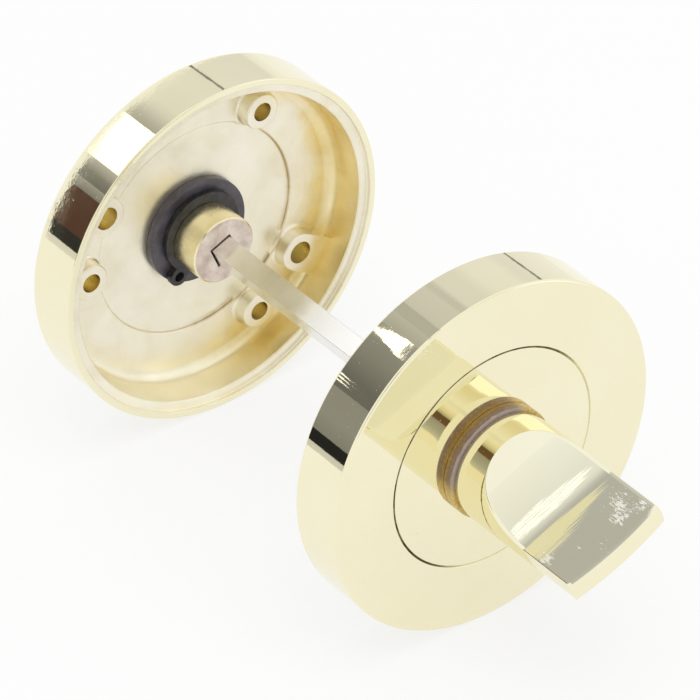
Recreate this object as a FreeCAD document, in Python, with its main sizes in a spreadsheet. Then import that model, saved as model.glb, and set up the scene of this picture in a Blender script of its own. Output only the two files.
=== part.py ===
"""Bathroom thumb turn lock: two round roses, a thumb turn, a release and their square spindle.

The origin is the middle of the door face of the thumb turn's rose. The spindle lies along Y, with the
room at -Y and the corridor at +Y, and +Z is up. Lengths are in millimetres and angles in degrees.
"""
import FreeCAD, Part
import math
import os

import Sketcher

# Driving sizes, as alias, value and what the value is
SIZES = (
    ("rose_dia", 52.0, "outer diameter of a rose"),
    ("rose_height", 8.0, "height of a rose from the door to its face"),
    ("face_bevel", 0.45, "bevel between the face and the side of a rose"),
    ("ring_line_radius", 16.25, "radius of the fine ring cut into the face"),
    ("ring_line_width", 0.35, "width of the fine ring at the face"),
    ("ring_line_depth", 0.25, "depth of the fine ring"),
    ("lip_width", 1.0, "width of the outer lip that touches the door"),
    ("inner_ring_width", 1.4, "width of the ring inside the lip"),
    ("inner_ring_step", 0.6, "how far the inner ring lies below the lip"),
    ("floor_thickness", 1.5, "thickness of a rose between its face and the cavity"),
    ("recess_radius", 16.1, "radius of the round recess in the floor"),
    ("recess_depth", 0.5, "depth of that recess"),
    ("boss_circle_dia", 38.0, "diameter of the circle of screw bosses"),
    ("boss_angle", 58.5, "angle of the first boss above the horizontal"),
    ("trio_boss_dia", 5.3, "diameter of the three equal bosses"),
    ("trio_hole_dia", 2.8, "hole in each of the three bosses"),
    ("pair_boss_dia", 5.7, "diameter of the two bosses that are webbed to the wall"),
    ("pair_hole_dia", 3.4, "hole in each of the two webbed bosses"),
    ("boss_height", 2.2, "height of the bosses above the floor"),
    ("boss_hole_depth", 3.0, "depth of a hole from the end of its boss"),
    ("door_gap", 50.0, "distance between the roses, the thickness of the door"),
    ("shank_dia", 10.0, "diameter of both shanks"),
    ("shank_chamfer", 0.25, "chamfer at the end of a shank"),
    ("bore_clearance", 0.06, "radial running clearance of a shank in its rose"),
    ("washer_clearance", 0.1, "radial clearance of a washer on its shank"),
    ("axial_play", 0.1, "play between a turning piece and each washer"),
    ("face_washer_overhang", 0.3, "how far the nylon washer stands out around the turning piece"),
    ("face_washer_thickness", 1.6, "thickness of the nylon washer"),
    ("back_washer_thickness", 1.2, "thickness of the black washer"),
    ("circlip_thickness", 1.0, "thickness of a circlip"),
    ("circlip_band", 1.8, "width of the circlip's band opposite its gap"),
    ("circlip_taper", 0.3, "offset between the circlip's inner and outer circle"),
    ("circlip_lug_reach", 6.7, "distance of a lug's hole from the axis"),
    ("circlip_lug_dia", 2.9, "diameter of the round end of a lug"),
    ("circlip_lug_hole", 1.5, "plier hole in a lug"),
    ("circlip_lug_angle", 28.0, "angle of each lug from the middle of the gap"),
    ("circlip_gap_angle", 17.0, "half of the angle of the circlip's gap"),
    ("circlip_turn", -100.0, "direction of the circlips' gap"),
    ("circlip_clearance", 0.03, "radial clearance of a circlip in its groove"),
    ("groove_dia", 9.3, "diameter of a shank in its circlip groove"),
    ("groove_width", 1.1, "width of the circlip groove"),
    ("turn_dia", 15.8, "diameter of the thumb turn, the release's head and the black washers"),
    ("turn_length", 24.1, "length of the thumb turn's head along the axis"),
    ("turn_crown", 0.6, "rise of the domed end of the thumb turn"),
    ("turn_taper", 0.3, "how far the back edge of the thumb turn tapers in"),
    ("turn_taper_length", 0.9, "length of that taper"),
    ("blade_angle", 22.5, "angle of the blade above the horizontal"),
    ("blade_thickness", 3.0, "thickness of the blade"),
    ("blade_length", 9.4, "length of the flat blade from the scoops to its tip"),
    ("scoop_radius", 11.9, "radius of the scoops at the foot of the blade"),
    ("square_hole", 4.0, "square hole in both shanks"),
    ("spindle_size", 3.2, "width of the square spindle"),
    ("spindle_chamfer", 0.4, "chamfer at the ends of the spindle"),
    ("turn_engagement", 10.0, "length of spindle inside the thumb turn"),
    ("release_engagement", 6.0, "length of spindle inside the release"),
    ("spindle_end_gap", 1.5, "space beyond each end of the spindle"),
    ("pin_dia", 1.5, "diameter of the spring pin"),
    ("pin_length", 9.6, "length of the spring pin"),
    ("pin_wall", 0.3, "wall of the spring pin"),
    ("pin_slot", 0.4, "slot along the spring pin"),
    ("pin_offset", 2.3, "distance of the spring pin from the end of the shank"),
    ("pin_clearance", 0.02, "radial clearance around the spring pin"),
    ("release_height", 3.4, "height of the head of the release"),
    ("release_chamfer", 0.6, "chamfer around the head of the release"),
    ("coin_slot_width", 2.0, "width of the coin slot"),
    ("coin_slot_depth", 1.5, "depth of the coin slot"),
)

# A cutting outline ends this far outside the solid that it cuts
OVERCUT = 1.0
# The origin of a sketch, as the sketcher numbers it
ORIGIN_POINT = (-1, 1)


class Size:
    """A length or angle: its number, and the sheet formula that gives it."""

    def __init__(self, number, formula):
        self.number = number
        self.formula = formula

    def join(self, sign, other, number):
        formula = other.formula if isinstance(other, Size) else str(other)
        return Size(number, f"({self.formula} {sign} {formula})")

    def __add__(self, other):
        return self.join("+", other, self.number + plain(other))

    def __sub__(self, other):
        return self.join("-", other, self.number - plain(other))

    def __mul__(self, other):
        return self.join("*", other, self.number * plain(other))

    def __truediv__(self, other):
        return self.join("/", other, self.number / plain(other))

    def __neg__(self):
        return Size(-self.number, f"(0 - {self.formula})")


def plain(value):
    """Return the number of a size, or the number itself."""
    return value.number if isinstance(value, Size) else value


def polar(radius, angle):
    """Return the two coordinates of a point at a radius and an angle."""
    turn = math.radians(angle.number)
    across = Size(radius.number * math.cos(turn), f"{radius.formula} * cos({angle.formula})")
    up = Size(radius.number * math.sin(turn), f"{radius.formula} * sin({angle.formula})")
    return across, up


def other_leg(longest, leg):
    """Return the third side of a right-angled triangle."""
    number = math.sqrt(longest.number ** 2 - leg.number ** 2)
    return Size(number, f"sqrt({longest.formula} ^ 2 - {leg.formula} ^ 2)")


ZERO = Size(0.0, "0")

doc = FreeCAD.newDocument("BathroomThumbTurnLock")


def fill_sheet():
    """Write the driving sizes into a sheet and return them by alias."""
    sheet = doc.addObject("Spreadsheet::Sheet", "Sizes")
    sizes = {}
    for row, (alias, value, meaning) in enumerate(SIZES, start=1):
        sheet.set(f"A{row}", meaning)
        sheet.set(f"B{row}", str(value))
        sheet.setAlias(f"B{row}", alias)
        sizes[alias] = Size(value, f"Sizes.{alias}")
    doc.recompute()
    return sizes


size = fill_sheet()

# Heights above the door, the same in both roses
floor_height = size["rose_height"] - size["floor_thickness"]
recess_height = floor_height + size["recess_depth"]
back_washer_base = recess_height - size["back_washer_thickness"]
circlip_base = back_washer_base - size["axial_play"] - size["circlip_thickness"]
head_base = size["rose_height"] + size["face_washer_thickness"] + size["axial_play"]
boss_length = size["boss_height"] + size["recess_depth"]

# Radii that several pieces share
rose_radius = size["rose_dia"] / 2
turn_radius = size["turn_dia"] / 2
shank_radius = size["shank_dia"] / 2
washer_bore_radius = shank_radius + size["washer_clearance"]


def new_body(label):
    """Start a sub-part."""
    body = doc.addObject("PartDesign::Body", label)
    body.Label = label
    return body


def origin_item(body, role):
    """Return the plane or axis of a body's origin by its role."""
    return next(item for item in body.Origin.OriginFeatures if item.Role == role)


def new_sketch(body, name, role="XY_Plane", height=ZERO):
    """Add a sketch on an origin plane, raised along the plane's normal."""
    sketch = body.newObject("Sketcher::SketchObject", name)
    sketch.AttachmentSupport = [(origin_item(body, role), "")]
    sketch.MapMode = "FlatFace"
    sketch.setExpression("AttachmentOffset.Base.z", height.formula)
    return sketch


def dimension(sketch, constraint, value):
    """Add a dimension and tie it to its formula."""
    index = sketch.addConstraint(constraint)
    sketch.setExpression(f"Constraints[{index}]", value.formula)


def place_point(sketch, geometry, vertex, point):
    """Hold a point at its distances from the sketch's origin."""
    for kind, distance in zip(("DistanceX", "DistanceY"), point):
        constraint = Sketcher.Constraint(kind, *ORIGIN_POINT, geometry, vertex, distance.number)
        dimension(sketch, constraint, distance)


def vector(point):
    """Return the position of a sketch point."""
    return FreeCAD.Vector(point[0].number, point[1].number, 0)


def arc_between(start, end, radius, leftwards):
    """Return the short arc from one point to another that bends to the left or to the right."""
    first, last = vector(start), vector(end)
    if not leftwards:
        first, last = last, first
    half = (last - first) / 2
    inwards = FreeCAD.Vector(-half.y, half.x, 0).normalize()
    centre = first + half + inwards * math.sqrt(radius.number ** 2 - half.Length ** 2)
    circle = Part.Circle(centre, FreeCAD.Vector(0, 0, 1), radius.number)
    return Part.ArcOfCircle(circle, circle.parameter(first), circle.parameter(last))


def draw_outline(sketch, corners, arcs=None):
    """Draw a closed outline, with the radius and the left turn of each run that is an arc."""
    arcs = arcs or {}
    ends = []
    for index, start in enumerate(corners):
        end = corners[(index + 1) % len(corners)]
        if index in arcs:
            radius, leftwards = arcs[index]
            sketch.addGeometry(arc_between(start, end, radius, leftwards))
            dimension(sketch, Sketcher.Constraint("Radius", index, radius.number), radius)
            ends.append((1, 2) if leftwards else (2, 1))
        else:
            sketch.addGeometry(Part.LineSegment(vector(start), vector(end)))
            ends.append((1, 2))
    for index, corner in enumerate(corners):
        after = (index + 1) % len(corners)
        sketch.addConstraint(
            Sketcher.Constraint("Coincident", index, ends[index][1], after, ends[after][0])
        )
        place_point(sketch, index, ends[index][0], corner)


def draw_circle(sketch, centre, radius):
    """Draw a circle."""
    circle = Part.Circle(vector(centre), FreeCAD.Vector(0, 0, 1), radius.number)
    geometry = sketch.addGeometry(circle)
    place_point(sketch, geometry, 3, centre)
    dimension(sketch, Sketcher.Constraint("Radius", geometry, radius.number), radius)


def rectangle(left, right, bottom, top):
    """Return the corners of an upright rectangle."""
    return [(left, bottom), (right, bottom), (right, top), (left, top)]


def square(width):
    """Return the corners of a square around the origin."""
    half = width / 2
    return rectangle(-half, half, -half, half)


def turned(body, name, corners, arcs=None, kind="PartDesign::Revolution"):
    """Turn an outline of radii and heights around the body's Z axis."""
    sketch = new_sketch(body, f"{name}Outline", "XZ_Plane")
    draw_outline(sketch, corners, arcs)
    feature = body.newObject(kind, name)
    feature.Profile = sketch
    feature.ReferenceAxis = (sketch, ["V_Axis"])
    feature.Angle = 360
    return feature


def padded(body, name, sketch, length, downwards=False, both_ways=False):
    """Raise a sketch into a solid."""
    feature = body.newObject("PartDesign::Pad", name)
    feature.Profile = sketch
    feature.setExpression("Length", length.formula)
    feature.Reversed = downwards
    if both_ways:
        feature.SideType = "Symmetric"
    return feature


def pocketed(body, name, sketch, length, upwards=False, both_ways=False):
    """Cut a sketch out of the solid."""
    feature = body.newObject("PartDesign::Pocket", name)
    feature.Profile = sketch
    feature.setExpression("Length", length.formula)
    feature.Reversed = upwards
    if both_ways:
        feature.SideType = "Symmetric"
    return feature


def repeated(body, name, originals, count):
    """Repeat features evenly around the body's Z axis."""
    pattern = body.newObject("PartDesign::PolarPattern", name)
    pattern.Originals = originals
    pattern.Axis = (origin_item(body, "Z_Axis"), [""])
    pattern.Angle = 360
    pattern.Occurrences = count
    body.Tip = pattern
    return pattern


def mirrored(body, name, originals, role):
    """Repeat features on the other side of an origin plane."""
    mirror = body.newObject("PartDesign::Mirrored", name)
    mirror.Originals = originals
    mirror.MirrorPlane = (origin_item(body, role), [""])
    body.Tip = mirror
    return mirror


def chamfered(body, name, base, edges, width):
    """Chamfer some edges of a feature."""
    feature = body.newObject("PartDesign::Chamfer", name)
    feature.Base = (base, edges)
    feature.setExpression("Size", width.formula)
    return feature


def stand(body, side, angle):
    """Put a sub-part on its side of the door, turned around the spindle.

    Sub-parts are modelled with the door at the bottom and the room or corridor at the top.
    """
    if side == "turn":
        text = f"placement(vector(0; 0; 0); rotation(vector(1; 0; 0); 90) * {about_axis(angle)})"
    else:
        place = "vector(0; Sizes.door_gap; 0)"
        text = f"placement({place}; rotation(vector(1; 0; 0); -90) * {about_axis(-angle)})"
    body.setExpression("Placement", text)


def about_axis(angle):
    """Return the formula of a turn around a body's own Z axis."""
    return f"rotation(vector(0; 0; 1); {angle.formula})"


# Rose

def add_boss(body, name, centre, diameter):
    """Raise a boss from the floor of a rose towards the door."""
    sketch = new_sketch(body, f"{name}Circle", height=recess_height)
    draw_circle(sketch, centre, diameter / 2)
    return padded(body, name, sketch, boss_length, downwards=True)


def add_boss_hole(body, name, centre, diameter):
    """Cut a blind hole into the end of a boss."""
    sketch = new_sketch(body, f"{name}Circle", height=floor_height - size["boss_height"])
    draw_circle(sketch, centre, diameter / 2)
    return pocketed(body, name, sketch, size["boss_hole_depth"], upwards=True)


def make_rose(label, side):
    """Make a rose: a shallow cast cup with five screw bosses and a bore for the shank."""
    body = new_body(label)
    bore_radius = shank_radius + size["bore_clearance"]
    lip_radius = rose_radius - size["lip_width"]
    cavity_radius = lip_radius - size["inner_ring_width"]
    turned(body, "Shell", [
        (bore_radius, size["rose_height"]),
        (rose_radius - size["face_bevel"], size["rose_height"]),
        (rose_radius, size["rose_height"] - size["face_bevel"]),
        (rose_radius, ZERO),
        (lip_radius, ZERO),
        (lip_radius, size["inner_ring_step"]),
        (cavity_radius, size["inner_ring_step"]),
        (cavity_radius, floor_height),
        (size["recess_radius"], floor_height),
        (size["recess_radius"], recess_height),
        (bore_radius, recess_height),
    ])
    half_line = size["ring_line_width"] / 2
    turned(body, "RingLine", [
        (size["ring_line_radius"] - half_line, size["rose_height"]),
        (size["ring_line_radius"], size["rose_height"] - size["ring_line_depth"]),
        (size["ring_line_radius"] + half_line, size["rose_height"]),
    ], kind="PartDesign::Groove")

    boss_circle_radius = size["boss_circle_dia"] / 2
    centre = (boss_circle_radius, ZERO)
    boss = add_boss(body, "TrioBoss", centre, size["trio_boss_dia"])
    hole = add_boss_hole(body, "TrioHole", centre, size["trio_hole_dia"])
    repeated(body, "TrioPattern", [boss, hole], 3)

    centre = (ZERO, boss_circle_radius)
    boss = add_boss(body, "PairBoss", centre, size["pair_boss_dia"])
    sketch = new_sketch(body, "WebOutline", height=recess_height)
    half_web = size["pair_boss_dia"] / 2
    web_end = (cavity_radius + lip_radius) / 2
    draw_outline(sketch, rectangle(-half_web, half_web, boss_circle_radius, web_end))
    web = padded(body, "Web", sketch, boss_length, downwards=True)
    hole = add_boss_hole(body, "PairHole", centre, size["pair_hole_dia"])
    repeated(body, "PairPattern", [boss, web, hole], 2)
    stand(body, side, size["boss_angle"])


# Washers and circlips

def make_washer(label, side, base, radius, thickness):
    """Make a flat washer around a shank."""
    body = new_body(label)
    turned(body, "Ring", rectangle(washer_bore_radius, radius, base, base + thickness))
    stand(body, side, ZERO)


def make_circlip(label, side):
    """Make an external circlip with two plier lugs beside its gap."""
    body = new_body(label)
    thickness = size["circlip_thickness"]
    inner_radius = size["groove_dia"] / 2 + size["circlip_clearance"]
    outer_radius = inner_radius + size["circlip_band"] - size["circlip_taper"]

    sketch = new_sketch(body, "BandCircles", height=circlip_base)
    draw_circle(sketch, (ZERO, ZERO), inner_radius)
    draw_circle(sketch, (-size["circlip_taper"], ZERO), outer_radius)
    padded(body, "Band", sketch, thickness)

    sketch = new_sketch(body, "LugCircle", height=circlip_base)
    lug_centre = polar(size["circlip_lug_reach"], size["circlip_lug_angle"])
    draw_circle(sketch, lug_centre, size["circlip_lug_dia"] / 2)
    lug = padded(body, "Lug", sketch, thickness)
    mirrored(body, "LugMirror", [lug], "XZ_Plane")

    sketch = new_sketch(body, "GapWedge", height=circlip_base)
    reach = outer_radius + size["circlip_lug_dia"]
    draw_outline(sketch, [
        (ZERO, ZERO),
        polar(reach, -size["circlip_gap_angle"]),
        polar(reach, size["circlip_gap_angle"]),
    ])
    pocketed(body, "Gap", sketch, thickness, upwards=True)

    sketch = new_sketch(body, "LugHoleCircle", height=circlip_base)
    draw_circle(sketch, lug_centre, size["circlip_lug_hole"] / 2)
    hole = pocketed(body, "LugHole", sketch, thickness, upwards=True)
    mirrored(body, "LugHoleMirror", [hole], "XZ_Plane")
    stand(body, side, size["circlip_turn"])


# Turning pieces

def shank_outline():
    """Return the outline of a shank up to the head, from the axis outwards."""
    return [
        (ZERO, ZERO),
        (shank_radius - size["shank_chamfer"], ZERO),
        (shank_radius, size["shank_chamfer"]),
        (shank_radius, head_base),
    ]


def cut_shank(body, hole_depth):
    """Cut the square spindle hole and the circlip groove into a shank."""
    sketch = new_sketch(body, "SquareHoleOutline")
    draw_outline(sketch, square(size["square_hole"]))
    pocketed(body, "SquareHole", sketch, hole_depth, upwards=True)

    side_gap = (size["groove_width"] - size["circlip_thickness"]) / 2
    low = circlip_base - side_gap
    turned(
        body,
        "CirclipGroove",
        rectangle(size["groove_dia"] / 2, shank_radius + OVERCUT, low, low + size["groove_width"]),
        kind="PartDesign::Groove",
    )


def draw_scoop(sketch, tip_height):
    """Draw one scoop: an arc in to the foot of the blade, then the flat side of the blade."""
    half_blade = size["blade_thickness"] / 2
    outside = turn_radius + OVERCUT
    foot_height = tip_height - size["blade_length"]
    top = tip_height + OVERCUT
    scoop_drop = other_leg(size["scoop_radius"], half_blade + size["scoop_radius"] - outside)
    corners = [
        (outside, foot_height - scoop_drop),
        (half_blade, foot_height),
        (half_blade, top),
        (outside, top),
    ]
    draw_outline(sketch, corners, arcs={0: (size["scoop_radius"], False)})


def make_thumb_turn():
    """Make the thumb turn: a round bar with a shank and two scoops that leave a blade."""
    body = new_body("thumb_turn")
    tip_height = head_base + size["turn_length"]
    rim_height = tip_height - size["turn_crown"]
    corners = shank_outline() + [
        (turn_radius - size["turn_taper"], head_base),
        (turn_radius, head_base + size["turn_taper_length"]),
        (turn_radius, rim_height),
        (ZERO, tip_height),
    ]
    crown = size["turn_crown"]
    crown_radius = (turn_radius * turn_radius / crown + crown) / 2
    crown_run = len(corners) - 2
    turned(body, "Bar", corners, arcs={crown_run: (crown_radius, True)})
    cut_shank(body, size["turn_engagement"] + size["spindle_end_gap"])

    sketch = new_sketch(body, "PinHoleCircle", "XZ_Plane")
    draw_circle(sketch, (ZERO, size["pin_offset"]), size["pin_dia"] / 2 + size["pin_clearance"])
    pocketed(body, "PinHole", sketch, size["shank_dia"] + OVERCUT, both_ways=True)

    sketch = new_sketch(body, "ScoopOutline", "YZ_Plane")
    draw_scoop(sketch, tip_height)
    scoop = pocketed(body, "Scoop", sketch, size["turn_dia"] + OVERCUT, both_ways=True)
    mirrored(body, "ScoopMirror", [scoop], "XZ_Plane")
    stand(body, "turn", size["blade_angle"])


def make_release_turn():
    """Make the release: the same shank with a low round head and a coin slot."""
    body = new_body("release_turn")
    top = head_base + size["release_height"]
    turned(body, "Bar", shank_outline() + [
        (turn_radius, head_base),
        (turn_radius, top - size["release_chamfer"]),
        (turn_radius - size["release_chamfer"], top),
        (ZERO, top),
    ])
    cut_shank(body, size["release_engagement"] + size["spindle_end_gap"])

    sketch = new_sketch(body, "CoinSlotOutline", height=top)
    half_width = size["coin_slot_width"] / 2
    reach = turn_radius + OVERCUT
    draw_outline(sketch, rectangle(-reach, reach, -half_width, half_width))
    pocketed(body, "CoinSlot", sketch, size["coin_slot_depth"])
    stand(body, "release", size["blade_angle"])


# Spindle

def make_spindle():
    """Make the square bar that joins both turns."""
    body = new_body("spindle")
    sketch = new_sketch(body, "BarOutline", height=size["turn_engagement"])
    draw_outline(sketch, square(size["spindle_size"]))
    length = size["turn_engagement"] + size["door_gap"] + size["release_engagement"]
    bar = padded(body, "Bar", sketch, length, downwards=True)
    doc.recompute()
    ends = [
        f"Edge{index}"
        for index, edge in enumerate(bar.Shape.Edges, start=1)
        if edge.BoundBox.ZLength < size["spindle_chamfer"].number
    ]
    chamfered(body, "EndChamfer", bar, ends, size["spindle_chamfer"])

    sketch = new_sketch(body, "PinHoleCircle", "XZ_Plane")
    draw_circle(sketch, (ZERO, size["pin_offset"]), size["pin_dia"] / 2 + size["pin_clearance"])
    pocketed(body, "PinHole", sketch, size["spindle_size"] + OVERCUT, both_ways=True)
    stand(body, "turn", size["blade_angle"])


def make_spindle_pin():
    """Make the rolled spring pin that keeps the spindle in the thumb turn."""
    body = new_body("spindle_pin")
    radius = size["pin_dia"] / 2
    sketch = new_sketch(body, "TubeCircles", "XZ_Plane")
    draw_circle(sketch, (ZERO, size["pin_offset"]), radius)
    draw_circle(sketch, (ZERO, size["pin_offset"]), radius - size["pin_wall"])
    padded(body, "Tube", sketch, size["pin_length"], both_ways=True)

    sketch = new_sketch(body, "SlotOutline", "XZ_Plane")
    half_slot = size["pin_slot"] / 2
    outside = size["pin_offset"] + radius + OVERCUT
    draw_outline(sketch, rectangle(-half_slot, half_slot, size["pin_offset"], outside))
    pocketed(body, "Slot", sketch, size["pin_length"] + OVERCUT, both_ways=True)
    stand(body, "turn", size["blade_angle"])


# Checks and files

def check_document():
    """Stop if any object failed, is empty or cuts nothing."""
    for item in doc.Objects:
        if "Invalid" in item.State or "Error" in item.State:
            raise RuntimeError(f"{item.Label} failed: {item.State}")
        if item.TypeId in ("PartDesign::Pocket", "PartDesign::Groove"):
            if item.Shape.Volume >= item.BaseFeature.Shape.Volume:
                raise RuntimeError(f"{item.Label} cuts nothing")


def export_bodies():
    """Write each sub-part to its own file."""
    os.makedirs("parts", exist_ok=True)
    for body in doc.findObjects("PartDesign::Body"):
        shape = body.Shape
        if shape.isNull() or not shape.isValid() or len(shape.Solids) != 1:
            raise RuntimeError(f"{body.Label} isn't one valid solid")
        shape.exportStep(f"parts/{body.Label}.step")
        print(f"{body.Label}: {shape.Volume:.1f} mm3")


make_rose("turn_rose", "turn")
make_rose("release_rose", "release")
for side in ("turn", "release"):
    make_washer(
        f"{side}_face_washer",
        side,
        size["rose_height"],
        turn_radius + size["face_washer_overhang"],
        size["face_washer_thickness"],
    )
    make_washer(
        f"{side}_back_washer",
        side,
        back_washer_base,
        turn_radius,
        size["back_washer_thickness"],
    )
    make_circlip(f"{side}_circlip", side)
make_thumb_turn()
make_release_turn()
make_spindle()
make_spindle_pin()
doc.recompute()
check_document()
export_bodies()
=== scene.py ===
"""Looks of the bathroom thumb turn lock: fine pieces, materials, floor, light and camera."""
import math

import bmesh
import bpy
from mathutils import Matrix, Vector


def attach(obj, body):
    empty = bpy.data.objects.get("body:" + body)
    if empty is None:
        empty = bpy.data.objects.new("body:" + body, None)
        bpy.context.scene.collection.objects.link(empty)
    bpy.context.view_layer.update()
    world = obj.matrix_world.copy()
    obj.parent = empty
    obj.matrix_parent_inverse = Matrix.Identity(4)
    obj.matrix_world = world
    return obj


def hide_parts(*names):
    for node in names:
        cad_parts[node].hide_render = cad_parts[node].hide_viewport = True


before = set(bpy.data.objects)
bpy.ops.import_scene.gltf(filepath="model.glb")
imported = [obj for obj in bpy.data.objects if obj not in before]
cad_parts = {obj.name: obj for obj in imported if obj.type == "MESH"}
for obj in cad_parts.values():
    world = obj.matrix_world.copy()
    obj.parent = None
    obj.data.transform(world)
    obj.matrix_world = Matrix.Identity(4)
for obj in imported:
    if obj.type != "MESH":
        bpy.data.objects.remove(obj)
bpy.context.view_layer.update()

# Sizes in millimetres. Heights count from the face of the door on a piece's own side
MM = 0.001
DOOR_GAP = 50.0

ROSE_RADIUS = 26.0
ROSE_HEIGHT = 8.0
FACE_EDGE = 0.38
FLOOR_HEIGHT = 6.5
RECESS_HEIGHT = 7.0
RECESS_RADIUS = 16.1
CAVITY_RADIUS = 23.6
CAVITY_FILLET = 1.8
LIP_RADIUS = 25.0
RING_STEP = 0.6
BORE_RADIUS = 5.06
LINE_RADIUS = 16.25
LINE_HALF = 0.175
LINE_DEPTH = 0.25

BOSS_CIRCLE = 19.0
BOSS_ANGLE = 58.5
BOSS_END = 4.3
BOSS_FLARE = 0.75
HOLE_END = 7.3
SCREW_SIDES = (0, 120, 240)
SCREW_BOSS = 2.65
SCREW_HOLE = 1.4
BOLT_SIDES = (90, -90)
BOLT_BOSS = 2.85
BOLT_HOLE = 1.7
WEB_END = 24.3

WASHER_BORE = 5.1
FACE_WASHER_RADIUS = 8.2
FACE_WASHER_TOP = 9.6
BACK_WASHER_LOW = 5.8
CIRCLIP_TURN = -100.0

SHANK_RADIUS = 5.0
SHANK_CHAMFER = 0.25
GROOVE_RADIUS = 4.65
GROOVE_LOW = 4.65
GROOVE_HIGH = 5.75
HEAD_BASE = 9.7
TURN_RADIUS = 7.9
BELLY_HEIGHT = 11.9
TIP_HEIGHT = 33.8
CROWN_RADIUS = 52.308
TIP_EDGE = 0.12
BLADE_CORNER = 0.16
BLADE_ANGLE = 22.5
HALF_BLADE = 1.5
SCOOP_RADIUS = 11.9
SCOOP_END = 24.4
RELEASE_TOP = 13.1
RELEASE_STEP = 0.6

SPINDLE_HALF = 1.6
TURN_HOLE_HALF = 2.0
TURN_HOLE_END = 11.5
RELEASE_HOLE_HALF = 1.8
RELEASE_HOLE_END = 7.5
SLOT_HALF = 1.0
SLOT_DEPTH = 1.5
PIN_HOLE_RADIUS = 0.77
PIN_HEIGHT = 2.3

# Reflectance of the plating
GOLD = (0.91, 0.86, 0.62)

# Scuffs on the blade: spot across it, spot along it, reach and strength
SCUFFS = [
    (5.0, 28.6, 3.6, 0.34), (3.2, 30.6, 2.2, 0.26), (-6.8, 27.4, 2.0, 0.36),
    (-0.5, 31.8, 2.4, 0.2), (-3.0, 29.5, 1.6, 0.2), (6.6, 31.5, 1.8, 0.3),
]

# Camera: turn and lift in degrees, offset in millimetres, focal length in pixels of the photo
VIEW_AZIMUTH = -37.785
VIEW_ELEVATION = 36.68
VIEW_OFFSET = (13.618, 10.156, 819.147)
VIEW_FOCAL = 6289.655
FRAME_PIXELS = 700
SENSOR = 36.0

# Share of plain white in the floor, strength of the even light, and radii of the arches of cards
FLOOR_WHITE = 0.74
EVEN_LIGHT = 0.84
ARCH = 200.0
STREAK_ARCH = 190.0
BAR_ARCH = 100.0

# Cards by direction in degrees round the spindle, each with a tone. They stand for the studio
NEAR_TONES = [
    (48, 0.95), (60, 0.92), (71.4, 0.86), (71.8, 0.82), (76, 0.80), (80, 0.87), (88, 0.85),
    (92, 0.77), (98, 0.76), (99.5, 0.6), (101, 0.6), (102, 0.66), (108, 0.63), (112, 0.56),
    (117.8, 0.44), (118, 0.36), (121, 0.30), (128, 0.25), (136, 0.155), (140.6, 0.155),
    (140.7, 0.28), (149, 0.29), (154.6, 0.235), (154.7, 0.02), (158.4, 0.02), (158.5, 0.63),
    (161, 0.70), (163.5, 0.90),
]
FAR_TONES = [
    (62, 1.0), (68, 0.9), (70, 0.79), (87.2, 0.82), (87.6, 0.80), (96, 0.825), (105, 0.80),
    (108, 0.72), (112, 0.52), (114.5, 0.44), (114.6, 1.8), (131, 1.8), (131.1, 0.52), (133, 0.40),
    (135, 0.24), (137.9, 0.18), (138, 0.36), (141, 0.22), (141.1, (0.10, 0.054, 0.042)),
    (153.5, (0.095, 0.05, 0.04)), (153.6, 0.035), (158, 0.035), (158.1, 0.7), (163, 0.86),
]
KNOB_TONES = [
    (58, 1.25), (82, 1.3), (84, (0.95, 0.92, 0.80)), (89, (0.86, 0.80, 0.64)),
    (96, (0.90, 0.85, 0.70)), (108, 1.0), (118, (0.98, 0.95, 0.84)), (123, (0.8, 0.75, 0.6)),
    (126, (0.5, 0.45, 0.35)), (127, (0.15, 0.09, 0.05)), (133, (0.17, 0.10, 0.06)), (134, 0.36),
    (142, 0.46), (147, 0.62), (149, (0.98, 0.95, 0.84)), (170, 1.0),
]
BAR_TONES = [(106, 1.25), (119, 1.25)]

# The card over the scoop, by slope of the scoop in degrees
SCOOP_TONES = [
    (-3, 0.47), (4, 0.50), (6.5, 0.58), (8.5, 0.70), (11, 0.82), (12.5, 0.84), (20, 0.85),
    (30, 0.89), (36, 0.91), (46, 0.96),
]
# Bright lines in the scoop: from slope to slope, and from one spot across the blade to another
SCOOP_LINES = [
    (10.6, 10.8, -8, 2), (11.2, 11.6, -8, 4.5), (12.0, 12.3, -8, 6), (12.7, 13.5, -8, 7.5),
    (13.8, 14.2, -8, 8), (14.6, 15.8, -8, 9), (16.1, 16.4, -8, 8.5), (16.8, 17.9, -7.8, 8),
    (18.2, 18.5, -7.4, 6.5), (18.9, 19.5, -7.0, 5), (19.9, 20.1, -6.6, 3), (20.5, 20.8, -6.0, 0.5),
]
# Dark creases on the walls, drawn as painted reflections of dark cards: name, first direction and the places
# along the spindle
CREASES = [("crease_near", 72.0, range(8, -16, -1)), ("crease_far", 88.4, range(82, 38, -1))]
CREASE_LEAN = 0.04
CREASE_WIDTH = 0.9
# Bright streaks on the near wall: place along the spindle and two directions
WIDE_STREAK = [
    (1.5, 120.9, 121.4), (0.0, 120.2, 121.4), (-1.0, 119.6, 121.6), (-2.0, 119.2, 121.8),
    (-3.0, 118.8, 122.0), (-4.0, 118.3, 122.3), (-5.0, 118.1, 122.6), (-6.0, 117.9, 122.9),
    (-7.0, 117.7, 123.2), (-8.5, 117.6, 123.5),
]
FINE_STREAK = [(1.5, 0, 0.5), (-0.5, 0, 0.6), (-2.0, 0.1, 0.6), (-3.4, 0.3, 0.5)]
FINE_STREAK_SIDES = (136.5, 137.5, 138.5)
CREASE_TONE = 0.26
LINE_TONE = 1.4
WIDE_STREAK_TONE = 1.8


# Meshes

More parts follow.
